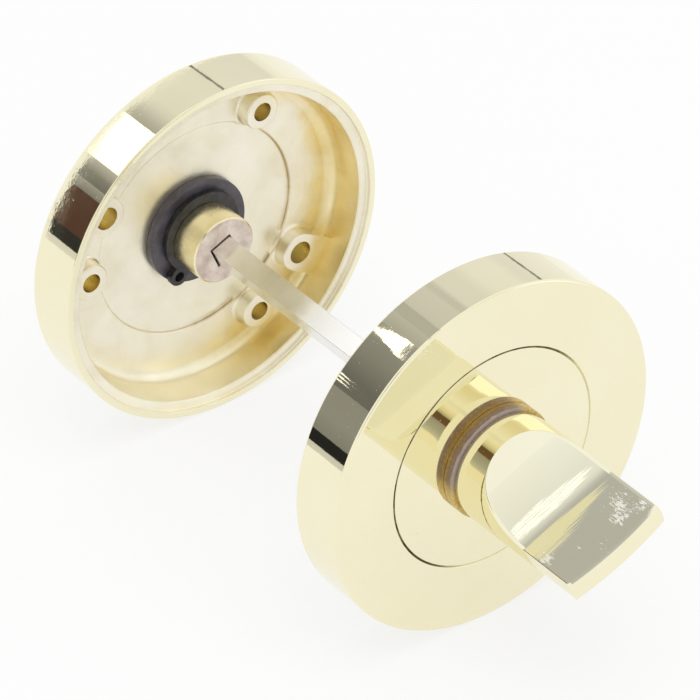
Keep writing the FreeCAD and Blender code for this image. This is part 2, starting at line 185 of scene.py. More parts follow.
def new_object(name, vertices, faces):
    """Return a new object of the scene, made from points and faces."""
    mesh = bpy.data.meshes.new(name)
    mesh.from_pydata([tuple(v) for v in vertices], [], faces)
    piece = bpy.data.objects.new(name, mesh)
    bpy.context.scene.collection.objects.link(piece)
    return piece


def cleaned(piece, distance=1e-5):
    """Merge doubled points, drop empty faces and turn all faces outwards."""
    bm = bmesh.new()
    bm.from_mesh(piece.data)
    bmesh.ops.remove_doubles(bm, verts=bm.verts, dist=distance)
    bmesh.ops.dissolve_degenerate(bm, edges=bm.edges, dist=distance)
    bmesh.ops.recalc_face_normals(bm, faces=bm.faces)
    bm.to_mesh(piece.data)
    bm.free()
    return piece


def rounded(corners, steps=6, support=0.04, closed=True):
    """Return an outline with each corner (x, y, radius) rounded, and a point beside each rounding."""
    outline = []
    count = len(corners)
    for index, (x, y, radius) in enumerate(corners):
        at_end = not closed and index in (0, count - 1)
        if radius == 0 or at_end:
            outline.append((x, y))
            continue
        corner = Vector((x, y))
        before = (Vector(corners[index - 1][:2]) - corner).normalized()
        after = (Vector(corners[(index + 1) % count][:2]) - corner).normalized()
        half = before.angle(after) / 2
        cut = radius / math.tan(half)
        centre = corner + (before + after).normalized() * (radius / math.sin(half))
        start, end = corner + before * cut, corner + after * cut
        first = math.atan2(start.y - centre.y, start.x - centre.x)
        sweep = math.atan2(end.y - centre.y, end.x - centre.x) - first
        sweep = (sweep + math.pi) % (2 * math.pi) - math.pi
        outline.append(tuple(start + before * support))
        for step in range(steps + 1):
            angle = first + sweep * step / steps
            outline.append((centre.x + radius * math.cos(angle), centre.y + radius * math.sin(angle)))
        outline.append(tuple(end + after * support))
    return outline


def level(outline, height):
    """Return an outline as points at one height."""
    return [(x, y, height) for x, y in outline]


def skin(name, rows, closed_ends=(), ring=False):
    """Join rows of equally many points into a tube, and close the ends that are named."""
    across = len(rows[0])
    vertices = [point for row in rows for point in row]
    faces = []
    last = len(rows) if ring else len(rows) - 1
    for i in range(last):
        low, high = i * across, ((i + 1) % len(rows)) * across
        for j in range(across):
            k = (j + 1) % across
            faces.append((low + j, low + k, high + k, high + j))
    for end in closed_ends:
        base = 0 if end == "first" else (len(rows) - 1) * across
        faces.append(tuple(range(base, base + across)))
    return cleaned(new_object(name, vertices, faces))


def lathe(name, outline, steps, ring=True):
    """Turn an outline of radii and heights around the Z axis."""
    rows = []
    for radius, height in outline:
        row = []
        for step in range(steps):
            angle = 2 * math.pi * step / steps
            row.append((radius * math.cos(angle), radius * math.sin(angle), height))
        rows.append(row)
    return skin(name, rows, ring=ring)


def prism(name, outline, low, high):
    """Raise an outline between two heights."""
    return skin(name, [level(outline, low), level(outline, high)], ("first", "last"))


def drum(centre, radius, low, high, steps=64):
    """Return an upright round cutter."""
    outline = []
    for step in range(steps):
        angle = 2 * math.pi * step / steps
        outline.append((centre[0] + radius * math.cos(angle), centre[1] + radius * math.sin(angle)))
    return prism("hole", outline, low, high)


def block(half_x, half_y, low, high):
    """Return an upright rectangular cutter."""
    outline = [(-half_x, -half_y), (half_x, -half_y), (half_x, half_y), (-half_x, half_y)]
    return prism("hole", outline, low, high)


def carve(piece, tool, operation="DIFFERENCE"):
    """Cut a tool out of a piece, or join it on, and remove the tool."""
    change = piece.modifiers.new("carve", "BOOLEAN")
    change.object = tool
    change.operation = operation
    change.solver = "MANIFOLD"
    graph = bpy.context.evaluated_depsgraph_get()
    mesh = bpy.data.meshes.new_from_object(piece.evaluated_get(graph))
    piece.modifiers.clear()
    piece.data = mesh
    bpy.data.objects.remove(tool)


def carve_pin_hole(piece, half_length):
    """Cut the hole of the cross pin."""
    pin = drum((0, 0), PIN_HOLE_RADIUS, -half_length, half_length, 40)
    across = Matrix.Rotation(math.pi / 2, 4, "X")
    pin.data.transform(Matrix.Translation((0, 0, PIN_HEIGHT)) @ across)
    carve(piece, pin)


def polar(radius, angle):
    """Return the point at a radius and an angle in degrees."""
    return radius * math.cos(math.radians(angle)), radius * math.sin(math.radians(angle))


def placed(piece, side, angle):
    """Bring a piece from millimetres above the door to its place on that side of the door."""
    if side == "turn":
        spot = Matrix.Rotation(math.pi / 2, 4, "X") @ Matrix.Rotation(math.radians(angle), 4, "Z")
    else:
        spot = Matrix.Translation((0, DOOR_GAP, 0)) @ Matrix.Rotation(-math.pi / 2, 4, "X")
        spot = spot @ Matrix.Rotation(math.radians(-angle), 4, "Z")
    piece.data.transform(Matrix.Scale(MM, 4) @ spot)


def finished(piece, node, body, materials, sharp=30.0):
    """Shade a piece, give it its materials and let it stand for its node."""
    mesh = piece.data
    mesh.shade_smooth()
    mesh.set_sharp_from_angle(angle=math.radians(sharp))
    weighted = piece.modifiers.new("normals", "WEIGHTED_NORMAL")
    weighted.keep_sharp = True
    picks = [face.material_index for face in mesh.polygons]
    mesh.materials.clear()
    for item in materials:
        mesh.materials.append(item)
    mesh.polygons.foreach_set("material_index", picks)
    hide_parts(node)
    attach(piece, body)


def paint(piece, materials, choose):
    """Give each face the material that choose returns for its centre and normal."""
    for face in piece.data.polygons:
        face.material_index = materials.index(choose(face.center, face.normal))


# Material nodes

class Nodes:
    """A material with one Principled shader, and short ways to add nodes to it."""

    def __init__(self, name, colour, metallic=0.0, roughness=0.5, **more):
        self.material = bpy.data.materials.new(name)
        self.material.use_nodes = True
        self.tree = self.material.node_tree
        self.shader = self.tree.nodes["Principled BSDF"]
        self.shader.inputs["Base Color"].default_value = (*colour, 1)
        self.shader.inputs["Metallic"].default_value = metallic
        self.shader.inputs["Roughness"].default_value = roughness
        for socket, value in more.items():
            self.shader.inputs[socket.replace("_", " ")].default_value = value
        self.place = self.add("ShaderNodeTexCoord").outputs["Object"]

    def add(self, kind, **settings):
        node = self.tree.nodes.new(kind)
        for key, value in settings.items():
            setattr(node, key, value)
        return node

    def link(self, output, node, socket):
        self.tree.links.new(output, node.inputs[socket])

    def mapped(self, scale, turn=0.0):
        """Return coordinates along axes turned round the spindle, each with its own scale."""
        node = self.add("ShaderNodeMapping", vector_type="TEXTURE")
        self.link(self.place, node, "Vector")
        node.inputs["Scale"].default_value = [1 / number for number in scale]
        node.inputs["Rotation"].default_value = (0, math.radians(-turn), 0)
        return node.outputs["Vector"]

    def from_axis(self):
        """Return the vector from the spindle's axis to a point."""
        flat = self.add("ShaderNodeVectorMath", operation="MULTIPLY")
        self.link(self.place, flat, 0)
        flat.inputs[1].default_value = (1, 0, 1)
        return flat.outputs["Vector"]

    def radius(self):
        """Return the distance from the spindle's axis."""
        length = self.add("ShaderNodeVectorMath", operation="LENGTH")
        self.link(self.from_axis(), length, 0)
        return length.outputs["Value"]

    def side(self, angle):
        """Return 1 towards a direction round the spindle, falling to -1 away from it."""
        unit = self.add("ShaderNodeVectorMath", operation="NORMALIZE")
        self.link(self.from_axis(), unit, 0)
        along = self.add("ShaderNodeVectorMath", operation="DOT_PRODUCT")
        self.link(unit.outputs["Vector"], along, 0)
        along.inputs[1].default_value = outward(angle)
        return along.outputs["Value"]

    def near(self, point, reach, most):
        """Return the most at a point in millimetres, falling to 0 at its reach."""
        apart = self.add("ShaderNodeVectorMath", operation="DISTANCE")
        self.link(self.place, apart, 0)
        apart.inputs[1].default_value = Vector(point) * MM
        return self.between(apart.outputs["Value"], 0, reach, most, 0)

    def depth(self):
        """Return the distance from the middle of the door."""
        split = self.add("ShaderNodeSeparateXYZ")
        self.link(self.place, split, "Vector")
        shifted = self.add("ShaderNodeMath", operation="SUBTRACT")
        self.link(split.outputs["Y"], shifted, 0)
        shifted.inputs[1].default_value = DOOR_GAP * MM / 2
        size = self.add("ShaderNodeMath", operation="ABSOLUTE")
        self.link(shifted.outputs["Value"], size, 0)
        return size.outputs["Value"]

    def noise(self, scale, detail=3.0, roughness=0.5, distortion=0.0, where=None):
        node = self.add("ShaderNodeTexNoise")
        self.link(where or self.place, node, "Vector")
        node.inputs["Scale"].default_value = scale
        node.inputs["Detail"].default_value = detail
        node.inputs["Roughness"].default_value = roughness
        node.inputs["Distortion"].default_value = distortion
        return node.outputs["Fac"]

    def ramp(self, value, stops):
        """Return a colour by value, from stops of position and colour."""
        node = self.add("ShaderNodeValToRGB")
        self.link(value, node, "Fac")
        elements = node.color_ramp.elements
        while len(elements) < len(stops):
            elements.new(0.5)
        for element, (position, colour) in zip(elements, stops):
            element.position = position
            element.color = (*colour, 1)
        return node.outputs["Color"]

    def range(self, value, low, high, out_low=0, out_high=1):
        """Return a number that goes from out_low to out_high as the value goes from low to high."""
        node = self.add("ShaderNodeMapRange")
        self.link(value, node, "Value")
        sockets = ("From Min", "From Max", "To Min", "To Max")
        for socket, number in zip(sockets, (low, high, out_low, out_high)):
            node.inputs[socket].default_value = number
        return node.outputs["Result"]

    def between(self, value, low, high, out_low=0, out_high=1):
        """Do the same as range for a distance, with low and high in millimetres."""
        return self.range(value, low * MM, high * MM, out_low, out_high)

    def calc(self, operation, first, second):
        node = self.add("ShaderNodeMath", operation=operation)
        self.link(first, node, 0)
        self.link(second, node, 1)
        return node.outputs["Value"]

    def mix(self, factor, first, second):
        """Return the first colour where the factor is 0 and the second where it is 1."""
        node = self.add("ShaderNodeMix", data_type="RGBA")
        self.link(factor, node, 0)
        self.link(first, node, 6)
        self.link(second, node, 7)
        return node.outputs[2]

    def bump(self, heights):
        """Add bumps one after the other, each a height, a strength and a distance in metres."""
        normal = None
        for height, strength, distance in heights:
            node = self.add("ShaderNodeBump")
            node.inputs["Strength"].default_value = strength
            node.inputs["Distance"].default_value = distance
            self.link(height, node, "Height")
            if normal:
                self.link(normal, node, "Normal")
            normal = node.outputs["Normal"]
        self.link(normal, self.shader, "Normal")

    def colour(self, output):
        self.link(output, self.shader, "Base Color")

    def rough(self, output):
        self.link(output, self.shader, "Roughness")


def outward(angle):
    """Return the direction away from the spindle's axis at an angle in degrees."""
    return Vector((math.cos(math.radians(angle)), 0, math.sin(math.radians(angle))))


def blade_turn():
    """Return the rotation from the blade's own axes to the scene's."""
    return Matrix.Rotation(math.radians(-BLADE_ANGLE), 3, "Y")


def plated(name, waviness, roughness, low, high):
    """Return gold plating between two colours, with faint waves and a little dust."""
    make = Nodes(name, GOLD, metallic=1.0, roughness=roughness)
    make.colour(make.ramp(make.noise(90, 2), [(0.3, low), (0.7, high)]))
    specks = make.noise(2900, 1, 0.4)
    smears = make.range(make.noise(260, 4), 0.35, 0.8, roughness * 0.6, roughness * 1.7)
    dust = make.range(specks, 0.77, 0.82, 0, 0.6)
    make.rough(make.calc("ADD", smears, dust))
    make.bump([(make.noise(330, 2, 0.5), waviness, 0.0001), (specks, 0.015, 0.00004)])
    return make.material


def cast_plating():
    """Return the plating over a raw casting: cream, mottled and rippled, with painted shade and light on it:
    amber near the wall, a lighter stretch low on the wall and a darker edge of the recess on the right.
    """
    make = Nodes("cast_plating", (0.85, 0.78, 0.58), metallic=1.0, roughness=0.38)
    patches = make.noise(150, 5, 0.6, 0.8)
    pale = make.ramp(patches, [
        (0.3, (0.91, 0.845, 0.66)), (0.5, (0.95, 0.90, 0.74)), (0.75, (0.97, 0.93, 0.80)),
    ])
    amber = make.ramp(patches, [
        (0.3, (0.88, 0.72, 0.35)), (0.5, (0.94, 0.80, 0.44)), (0.75, (0.97, 0.87, 0.57)),
    ])
    light = make.ramp(patches, [(0.3, (1.0, 0.925, 0.70)), (0.7, (1.0, 0.97, 0.80))])
    recess_shade = make.ramp(patches, [(0.4, (0.60, 0.47, 0.25)), (0.65, (0.86, 0.76, 0.52))])

    # Painted shade: the plating turns amber along the wall, most of it on the right
    radius = make.radius()
    waves = make.range(make.noise(210, 3), 0.2, 0.8, -2.2 * MM, 2.2 * MM)
    rising = make.between(make.calc("ADD", radius, waves), CAVITY_RADIUS - 4.4, CAVITY_RADIUS - 1)
    inside = make.between(radius, CAVITY_RADIUS + 0.05, CAVITY_RADIUS + 0.1, 1, 0)
    near_wall = make.calc("MULTIPLY", rising, inside)
    right = make.range(make.side(-15), -0.1, 0.45, 0.12, 1)
    mottled = make.mix(make.calc("MULTIPLY", near_wall, right), pale, amber)

    # Painted light: a lighter stretch along the lowest part of the wall
    outer = make.between(radius, CAVITY_RADIUS - 3.1, CAVITY_RADIUS - 1.1)
    low = make.range(make.side(-112), 0.72, 0.95)
    plain = make.mix(make.calc("MULTIPLY", outer, low), mottled, light)

    # Painted shade: the edge of the recess is darker on the right
    before = make.between(radius, RECESS_RADIUS - 0.25, RECESS_RADIUS)
    after = make.between(radius, RECESS_RADIUS, RECESS_RADIUS + 0.3, 1, 0)
    edge = make.calc("MULTIPLY", before, after)
    make.colour(make.mix(make.calc("MULTIPLY", edge, right), plain, recess_shade))
    make.rough(make.range(make.noise(240, 4), 0.3, 0.75, 0.30, 0.46))
    flow = make.noise(110, 3, 0.55, 1.2)
    make.bump([(flow, 0.4, 0.0004), (make.noise(1500, 4, 0.6), 0.2, 0.00006)])
    return make.material


def brushed_scoop():
    """Return plating over the milled scoops, with fine marks across the blade and small scuffs."""
    make = Nodes("brushed_scoop", (0.91, 0.88, 0.72), metallic=1.0, roughness=0.05)
    marks = make.noise(1, 3, 0.65, where=make.mapped((60, 2600, 2600), BLADE_ANGLE))
    soft = make.noise(1, 2, 0.5, where=make.mapped((30, 900, 900), BLADE_ANGLE))
    scuffs = make.noise(1, 3, 0.6, 0.3, make.mapped((4200, 1300, 4200), BLADE_ANGLE))
    for across, height, reach, most in SCUFFS:
        spot = blade_turn() @ Vector((across, -height, HALF_BLADE))
        scuffs = make.calc("ADD", scuffs, make.near(spot, reach, most))
    tones = [(0.3, (0.90, 0.868, 0.665)), (0.7, (0.92, 0.89, 0.71))]
    plain = make.ramp(make.noise(150, 3), tones)
    worn = make.ramp(scuffs, [(0.0, (1.0, 0.99, 0.94)), (1.0, (1.0, 0.99, 0.94))])
    make.colour(make.mix(make.range(scuffs, 0.76, 0.82), plain, worn))
    polish = make.range(make.noise(140, 3), 0.35, 0.7, 0.02, 0.045)
    make.rough(make.calc("ADD", polish, make.range(scuffs, 0.76, 0.82, 0, 0.5)))
    make.bump([(soft, 0.10, 0.0001), (marks, 0.12, 0.00003)])
    return make.material


def groove_metal():
    """Return the bottom of the turned line, with painted shade on one side and plain plating on the other."""
    make = Nodes("groove_metal", (0.26, 0.21, 0.10), metallic=0.9, roughness=0.3)
    patches = make.noise(700, 3)
    painted_groove_shade = make.ramp(patches, [(0.35, (0.14, 0.11, 0.05)), (0.65, (0.42, 0.35, 0.18))])
    unshaded_groove = make.ramp(patches, [(0.35, (0.84, 0.78, 0.54)), (0.65, (0.91, 0.86, 0.62))])
    # Painted shade: the groove turns dark towards 142 degrees round the spindle
    make.colour(make.mix(make.range(make.side(142), -0.35, -0.05), unshaded_groove, painted_groove_shade))
    make.rough(make.range(patches, 0.3, 0.7, 0.2, 0.45))
    return make.material


def raw_end():
    """Return the sawn end of the hub: dull pinkish alloy with blotches and bright nicks."""
    make = Nodes("raw_end", (0.70, 0.58, 0.50), metallic=0.7, roughness=0.45)
    blotches = make.noise(420, 4, 0.55, 0.4)
    stops = [(0.3, (0.60, 0.50, 0.43)), (0.5, (0.77, 0.66, 0.58)), (0.75, (0.95, 0.86, 0.77))]
    make.colour(make.ramp(blotches, stops))
    make.rough(make.range(blotches, 0.3, 0.8, 0.55, 0.25))
    make.bump([(blotches, 0.3, 0.00012), (make.noise(2600, 3), 0.2, 0.00004)])
    return make.material


def brown_nylon():
    """Return brown nylon: amber at the foot and darker above, with a painted sheen in the mauve band towards the
    knob and golden painted light at two sides of the ring.
    """
    make = Nodes("nylon_brown", (0.16, 0.10, 0.05), roughness=0.3,
                 Subsurface_Weight=0.2, Subsurface_Scale=0.0005)
    make.shader.inputs["Subsurface Radius"].default_value = (1.0, 0.6, 0.25)
    middle = DOOR_GAP / 2
    height = make.between(make.depth(), middle + ROSE_HEIGHT, middle + FACE_WASHER_TOP)
    wavy = make.calc("ADD", height, make.range(make.noise(900, 3), 0.2, 0.8, -0.09, 0.09))
    # The mauve band at the top of the ramp, towards the knob, is a painted sheen
    layers = make.ramp(wavy, [
        (0.0, (0.42, 0.25, 0.04)), (0.16, (0.33, 0.19, 0.04)), (0.45, (0.23, 0.14, 0.07)),
        (0.62, (0.27, 0.18, 0.12)), (0.80, (0.20, 0.135, 0.11)), (0.90, (0.38, 0.30, 0.26)),
        (1.0, (0.42, 0.35, 0.34)),
    ])
    speckle = make.noise(2400, 3, 0.6)
    gold = make.ramp(speckle, [(0.45, (0.11, 0.065, 0.02)), (0.7, (0.52, 0.37, 0.12))])
    mottled = make.mix(make.range(speckle, 0.3, 0.8, 0.05, 0.5), layers, gold)
    lit = make.ramp(speckle, [(0.35, (0.56, 0.36, 0.06)), (0.7, (0.88, 0.66, 0.20))])
    # Painted light: the ring turns lighter and golden towards two directions round the spindle
    lower_end = make.range(make.side(213), 0.80, 0.94, 0, 0.9)
    upper_end = make.range(make.side(46), 0.91, 0.985, 0, 0.85)
    make.colour(make.mix(make.calc("ADD", lower_end, upper_end), mottled, lit))
    make.bump([(speckle, 0.2, 0.00005)])
    return make.material


def black_washer():
    """Return dull charcoal plastic with a faint purple cast."""
    make = Nodes("washer_charcoal", (0.085, 0.075, 0.09), roughness=0.35)
    patches = make.noise(420, 4, 0.6)
    make.colour(make.ramp(patches, [(0.3, (0.055, 0.048, 0.055)), (0.7, (0.12, 0.108, 0.135))]))
    make.rough(make.range(patches, 0.3, 0.7, 0.28, 0.45))
    make.bump([(make.noise(1800, 4), 0.2, 0.00006)])
    return make.material


def oiled_steel():
    """Return blackened spring steel with a thin film of oil."""
    make = Nodes("oiled_steel", (0.03, 0.03, 0.03), metallic=0.3, roughness=0.34, Coat_Weight=0.15)
    patches = make.noise(900, 4, 0.6)
    make.colour(make.ramp(patches, [(0.35, (0.018, 0.017, 0.018)), (0.7, (0.06, 0.058, 0.06))]))
    make.rough(make.range(patches, 0.3, 0.7, 0.26, 0.5))
    make.bump([(make.noise(2600, 3), 0.25, 0.00004)])
    return make.material


def drawn_steel():
    """Return the zinc plated bar, with marks along its length."""
    make = Nodes("drawn_steel", (0.90, 0.89, 0.85), metallic=1.0, roughness=0.2)
    along = make.noise(1, 3, 0.6, where=make.mapped((3200, 35, 3200)))
    patches = make.noise(180, 4, 0.6, 0.5)
    make.colour(make.ramp(patches, [(0.3, (0.85, 0.84, 0.80)), (0.7, (0.94, 0.93, 0.90))]))
    make.rough(make.range(patches, 0.3, 0.75, 0.14, 0.26))
    make.bump([(along, 0.2, 0.00004), (make.noise(300, 2), 0.08, 0.0001)])
    return make.material


POLISHED = plated("polished_plating", 0.035, 0.03, (0.90, 0.850, 0.605), (0.92, 0.872, 0.640))
HUB = plated("hub_plating", 0.06, 0.24, (0.88, 0.78, 0.47), (0.93, 0.85, 0.58))
# Painted shade: darker amber inside the holes, over plating that is also rougher there
SHADED_HOLE = plated("shaded_hole_plating", 0.1, 0.4, (0.80, 0.67, 0.32), (0.93, 0.82, 0.50))
GROOVE = groove_metal()
CAST = cast_plating()
SCOOPED = brushed_scoop()
RAW = raw_end()
NYLON = brown_nylon()
CHARCOAL = black_washer()
BLACK_STEEL = oiled_steel()
ZINC = drawn_steel()


# Roses

def boss(centre, radius):
    """Return a boss with a flared foot in the floor and a softened end."""
    outline = rounded([
        (0.01, RECESS_HEIGHT, 0),
        (radius + BOSS_FLARE, RECESS_HEIGHT, 0),
        (radius + BOSS_FLARE, FLOOR_HEIGHT + 0.02, 0),
        (radius + 0.06, FLOOR_HEIGHT - 0.1, 0.5),
        (radius, BOSS_END, 0.22),
        (0.01, BOSS_END, 0),
    ])
    piece = lathe("boss", outline, 72)
    piece.data.transform(Matrix.Translation((*centre, 0)))
    return piece


def web(side):
    """Return the web that joins a bolt's boss to the wall."""
    outline = [(-BOLT_BOSS, BOSS_CIRCLE), (BOLT_BOSS, BOSS_CIRCLE), (BOLT_BOSS, WEB_END), (-BOLT_BOSS, WEB_END)]
    piece = prism("web", outline, BOSS_END + 0.02, RECESS_HEIGHT - 0.1)
    piece.data.transform(Matrix.Rotation(math.radians(side - 90), 4, "Z"))
    return piece


def make_rose(looks):
    """Return one rose as it comes from the mould, above the door, with its faces painted."""
    shell = lathe("rose", rounded([
        (BORE_RADIUS, ROSE_HEIGHT, 0.1),
        (LINE_RADIUS - LINE_HALF, ROSE_HEIGHT, 0.05),
        (LINE_RADIUS, ROSE_HEIGHT - LINE_DEPTH, 0.02),
        (LINE_RADIUS + LINE_HALF, ROSE_HEIGHT, 0.05),
        (ROSE_RADIUS, ROSE_HEIGHT, FACE_EDGE),
        (ROSE_RADIUS, 0, 0.18),
        (LIP_RADIUS, 0, 0.15),
        (LIP_RADIUS, RING_STEP, 0.2),
        (CAVITY_RADIUS, RING_STEP, 0.3),
        (CAVITY_RADIUS, FLOOR_HEIGHT, CAVITY_FILLET),
        (RECESS_RADIUS, FLOOR_HEIGHT, 0.3),
        (RECESS_RADIUS, RECESS_HEIGHT, 0.2),
        (BORE_RADIUS, RECESS_HEIGHT, 0.1),
    ]), 360)
    for side in SCREW_SIDES:
        carve(shell, boss(polar(BOSS_CIRCLE, side), SCREW_BOSS), "UNION")
    for side in BOLT_SIDES:
        carve(shell, boss(polar(BOSS_CIRCLE, side), BOLT_BOSS), "UNION")
        carve(shell, web(side), "UNION")
    holes = [(polar(BOSS_CIRCLE, side), SCREW_HOLE) for side in SCREW_SIDES]
    holes += [(polar(BOSS_CIRCLE, side), BOLT_HOLE) for side in BOLT_SIDES]
    for spot, radius in holes:
        carve(shell, drum(spot, radius, 1.0, HOLE_END))
    cleaned(shell, 1e-4)

    def choose(centre, normal):
        radius = math.hypot(centre.x, centre.y)
        if centre.z > RECESS_HEIGHT + 0.2:
            in_line = abs(radius - LINE_RADIUS) < LINE_HALF and centre.z < ROSE_HEIGHT - 0.04
            return GROOVE if in_line else POLISHED
        # Faces inside the holes get the plating with painted shade
        for hole, width in holes:
            if (centre.xy - Vector(hole)).length < width + 0.05 and centre.z > BOSS_END + 0.1:
                return SHADED_HOLE
        return CAST if BORE_RADIUS + 0.1 < radius < LIP_RADIUS + 0.1 else POLISHED

    paint(shell, looks, choose)
    return shell


def make_roses():
    """Make both roses from one casting."""
    looks = (POLISHED, CAST, GROOVE, SHADED_HOLE)
    first = make_rose(looks)
    second = first.copy()
    second.data = first.data.copy()
    bpy.context.scene.collection.objects.link(second)
    for piece, side in ((first, "turn"), (second, "release")):
        piece.name = f"{side}_rose_fine"
        placed(piece, side, BOSS_ANGLE)
        finished(piece, f"{side}_rose", "roses", looks)


# Washers and circlips

def make_washer(side, place, low, high, radius, look):
    """Make a washer with softened edges."""
    outline = rounded([
        (WASHER_BORE, low, 0.12),
        (radius, low, 0.16),
        (radius, high, 0.16),
        (WASHER_BORE, high, 0.12),
    ])
    piece = lathe(f"{side}_{place}_washer_fine", outline, 192)
    placed(piece, side, 0)
    finished(piece, f"{side}_{place}_washer", "roses", (look,))


def make_circlip(side):
    """Make a circlip as a plate whose inner and outer edge are given for each direction."""
    low, high, edge = 4.7, 5.7, 0.12
    inner, outer, offset = 4.68, 6.18, -0.3
    reach, lug_radius, lug_hole, lug_angle, gap = 6.7, 1.45, 0.75, 28.0, 17.0
    rows = []
    steps = 220
    for step in range(steps + 1):
        angle = gap + (360 - 2 * gap) * step / steps
        turn = math.radians(angle)
        far = offset * math.cos(turn) + math.sqrt(outer ** 2 - (offset * math.sin(turn)) ** 2)
        for lug in (lug_angle, 360 - lug_angle):
            apart = math.radians(angle - lug)
            across = reach * math.sin(apart)
            if abs(across) < lug_radius and math.cos(apart) > 0:
                far = max(far, reach * math.cos(apart) + math.sqrt(lug_radius ** 2 - across ** 2))
        loop = [
            (inner, low + edge), (inner, high - edge), (inner + edge, high), (far - edge, high),
            (far, high - edge), (far, low + edge), (far - edge, low), (inner + edge, low),
        ]
        rows.append([(r * math.cos(turn), r * math.sin(turn), z) for r, z in loop])
    piece = skin(f"{side}_circlip_fine", rows, ("first", "last"))
    for lug in (lug_angle, -lug_angle):
        carve(piece, drum(polar(reach, lug), lug_hole, low - 1, high + 1, 40))
    placed(piece, side, CIRCLIP_TURN)
    finished(piece, f"{side}_circlip", "turning_set", (BLACK_STEEL,))


# Turning pieces

def section(radius, half, corner, arc_steps=56, corner_steps=6, flat_steps=40):
    """Return the outline of a round bar with two flats, its four edges rounded."""
    half = min(half, radius)
    middle_x = math.sqrt(max((radius - corner) ** 2 - (half - corner) ** 2, 0))
    middle_y = half - corner
    edge = math.atan2(middle_y, middle_x)
    outline = []
    for step in range(arc_steps + 1):
        angle = edge * (2 * step / arc_steps - 1)
        outline.append((radius * math.cos(angle), radius * math.sin(angle)))
    for step in range(1, corner_steps + 1):
        angle = edge + (math.pi / 2 - edge) * step / corner_steps
        outline.append((middle_x + corner * math.cos(angle), middle_y + corner * math.sin(angle)))
    for step in range(1, flat_steps):
        outline.append((middle_x * (1 - 2 * step / flat_steps), half))
    for step in range(corner_steps):
        angle = math.pi / 2 - (math.pi / 2 - edge) * step / corner_steps
        outline.append((-middle_x - corner * math.cos(angle), middle_y + corner * math.sin(angle)))
    return outline + [(-x, -y) for x, y in outline]


def crown_height(x, y):
    """Return the height of the blade's domed end."""
    return TIP_HEIGHT - CROWN_RADIUS + math.sqrt(CROWN_RADIUS ** 2 - x * x - y * y)


def shank_outline():
    """Return the heights and radii of a shank with the groove of its circlip."""
    return [
        (0.0, SHANK_RADIUS - SHANK_CHAMFER), (SHANK_CHAMFER, SHANK_RADIUS),
        (GROOVE_LOW, SHANK_RADIUS), (GROOVE_LOW, GROOVE_RADIUS),
        (GROOVE_HIGH, GROOVE_RADIUS), (GROOVE_HIGH, SHANK_RADIUS), (HEAD_BASE, SHANK_RADIUS),
    ]


def foot_rows(steps=14, bend=20):
    """Return cross-sections of the shank and of the knob's rounded foot."""
    rows = [level(section(r, r, BLADE_CORNER), z) for z, r in shank_outline()]
    for step in range(steps + 1):
        height = HEAD_BASE + (BELLY_HEIGHT - HEAD_BASE) * step / steps
        radius = TURN_RADIUS - (BELLY_HEIGHT - height) ** 2 / bend
        rows.append(level(section(radius, radius, BLADE_CORNER), height))
    return rows


def scoop_rows(steps=110, crowding=1.6):
    """Return cross-sections along the scoops, closer together near the blade, with softer edges near the foot."""
    rows = []
    start = math.acos((HALF_BLADE + SCOOP_RADIUS - TURN_RADIUS) / SCOOP_RADIUS)
    for step in range(steps + 1):
        angle = start * (1 - (step / steps) ** crowding)
        height, half = scoop_point(angle)
        corner = BLADE_CORNER + 0.4 * (angle / start) ** 1.5
        rows.append(level(section(TURN_RADIUS, half, corner), height))
    return rows


def scoop_point(slope):
    """Return the height and the half thickness where the scoop has a slope."""
    height = SCOOP_END - SCOOP_RADIUS * math.sin(slope)
    return height, HALF_BLADE + SCOOP_RADIUS * (1 - math.cos(slope))


def tip_rows(blade_steps=10, edge_steps=6):
    """Return cross-sections of the blade, its rounded end edge and its domed end."""
    rows = []
    outline = section(TURN_RADIUS, HALF_BLADE, BLADE_CORNER)
    for step in range(1, blade_steps + 1):
        share = step / blade_steps
        rows.append([
            (x, y, SCOOP_END + (crown_height(x, y) - TIP_EDGE - SCOOP_END) * share)
            for x, y in outline
        ])
    for step in range(1, edge_steps + 1):
        turn = math.pi / 2 * step / edge_steps
        inset = TIP_EDGE * (1 - math.cos(turn))
        outline = section(TURN_RADIUS - inset, HALF_BLADE - inset, BLADE_CORNER - inset)
        rows.append([
            (x, y, crown_height(x, y) - TIP_EDGE + TIP_EDGE * math.sin(turn)) for x, y in outline
        ])
    outline = section(TURN_RADIUS - TIP_EDGE, HALF_BLADE - TIP_EDGE, BLADE_CORNER - TIP_EDGE)
    for share in (0.97, 0.9, 0.75, 0.5, 0.25, 0.0):
        rows.append([(x * share, y * share, crown_height(x * share, y * share)) for x, y in outline])
    return rows


def make_thumb_turn():
    """Make the thumb turn from cross-sections, with its square hole and the hole of the pin."""
    piece = skin("thumb_turn_fine", foot_rows() + scoop_rows() + tip_rows(), ("first",))
    carve(piece, block(TURN_HOLE_HALF, TURN_HOLE_HALF, -1, TURN_HOLE_END))
    carve_pin_hole(piece, 6)

    def choose(centre, normal):
        inside = math.hypot(centre.x, centre.y) < TURN_RADIUS - 0.05
        on_scoop = inside and abs(normal.x) < 0.3 and abs(normal.y) > 0.3
        return SCOOPED if on_scoop and centre.z > BELLY_HEIGHT + 1.1 else POLISHED

    looks = (POLISHED, SCOOPED)
    paint(piece, looks, choose)
    placed(piece, "turn", BLADE_ANGLE)
    finished(piece, "thumb_turn", "turning_set", looks, 40)


